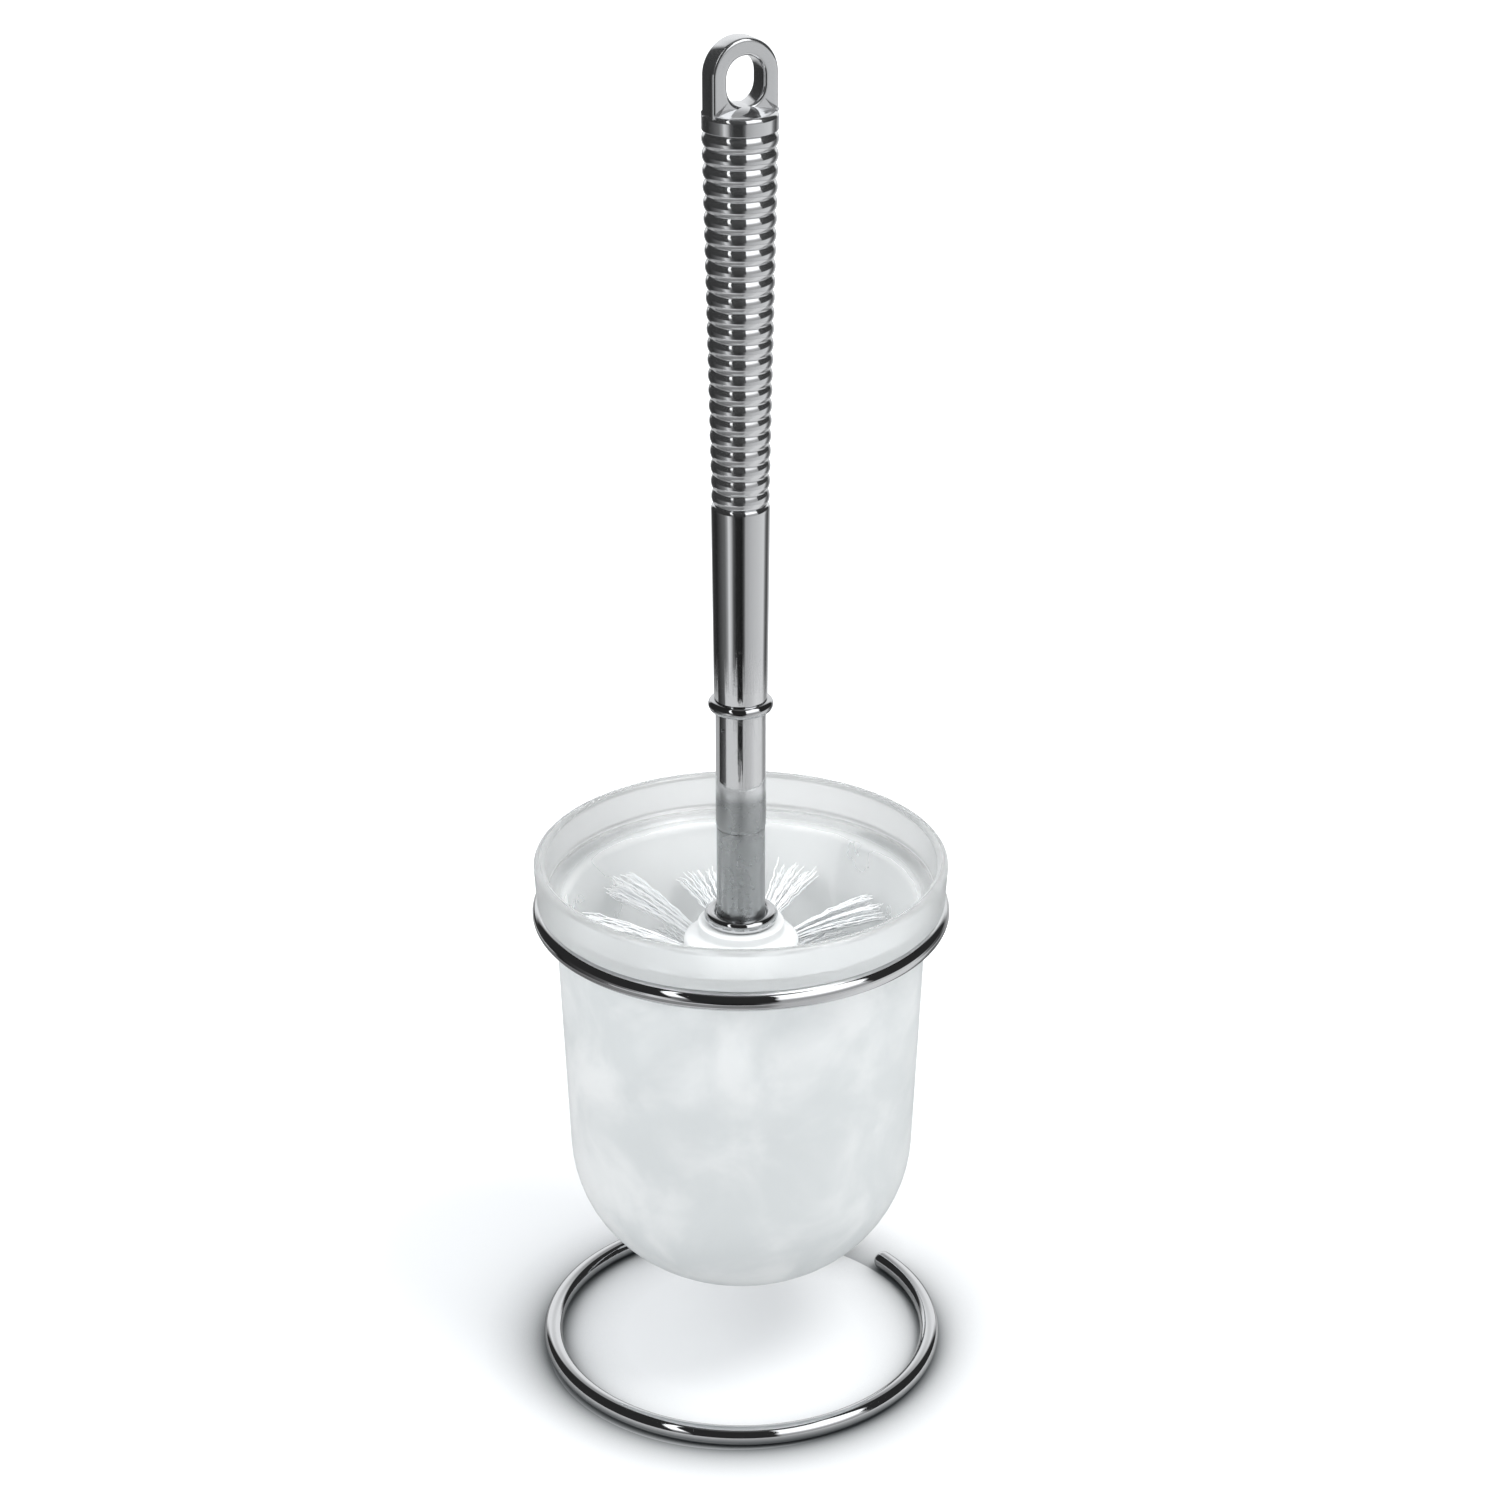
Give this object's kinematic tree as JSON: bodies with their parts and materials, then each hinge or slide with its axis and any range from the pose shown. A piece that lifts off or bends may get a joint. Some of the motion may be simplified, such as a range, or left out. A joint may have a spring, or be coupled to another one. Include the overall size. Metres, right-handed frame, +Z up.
{
  "type": "toilet brush holder",
  "caption": "Frosted glass cup hung in a free-standing bent wire stand, with a lift-out brush whose ribbed chrome handle unscrews from its bristle head.",
  "frame": {"origin": "on the floor, at the centre of the stand's base loop", "axes": "+Z up along the brush's axis; -Y is the front, with the gap of the base loop at the back right"},
  "size_m": [0.1154, 0.1154, 0.3835],
  "materials": {
    "stand_chrome": "bright chrome plate on round steel wire",
    "grip_chrome": "bright chrome plate on moulded plastic",
    "tube_chrome": "bright chrome plate with light water marks",
    "trim_chrome": "bright chrome plate",
    "frosted_glass": "acid-etched satin outside, clear gloss inside",
    "hub_plastic": "satin moulded white",
    "bristle": "crimped white filament",
    "plated_steel": "zinc plate",
    "anchor_steel": "bright wire",
    "brass": "turned"
  },
  "bodies": {
    "stand": {"stand_wire": "stand_chrome"},
    "cup": {"glass_cup": "frosted_glass"},
    "head": {"brush_hub": "hub_plastic", "head_stud": "plated_steel", "tuft_anchors": "anchor_steel", "bristle_end_tufts": "bristle", "bristle_row_1": "bristle", "bristle_row_2": "bristle", "bristle_row_3": "bristle", "bristle_row_4": "bristle", "bristle_row_5": "bristle", "bristle_row_6": "bristle"},
    "collar": {"collar_ring": "trim_chrome"},
    "handle": {"handle_grip": "grip_chrome", "bead_ring": "trim_chrome", "handle_tube": "tube_chrome", "lower_sleeve": "tube_chrome", "thread_insert": "brass"}
  },
  "joints": [
    {"name": "cup_lift", "type": "slide", "parent": "stand", "child": "cup", "axis": [0, 0, 1], "range_m": [0, 0.125]},
    {"name": "brush_lift", "type": "slide", "parent": "cup", "child": "head", "axis": [0, 0, 1], "range_m": [0, 0.13]},
    {"name": "handle_rise", "type": "slide", "parent": "head", "child": "collar", "axis": [0, 0, 1], "range_m": [0, 0.0126]},
    {"name": "handle_turn", "type": "hinge", "parent": "collar", "child": "handle", "pos_m": [0, 0, 0.15], "axis": [0, 0, 1], "range_deg": [0, 3600]}
  ],
  "couplings": [
    {"joint": "handle_rise", "follows": "handle_turn", "m_per_rad": 0.00019894}
  ]
}
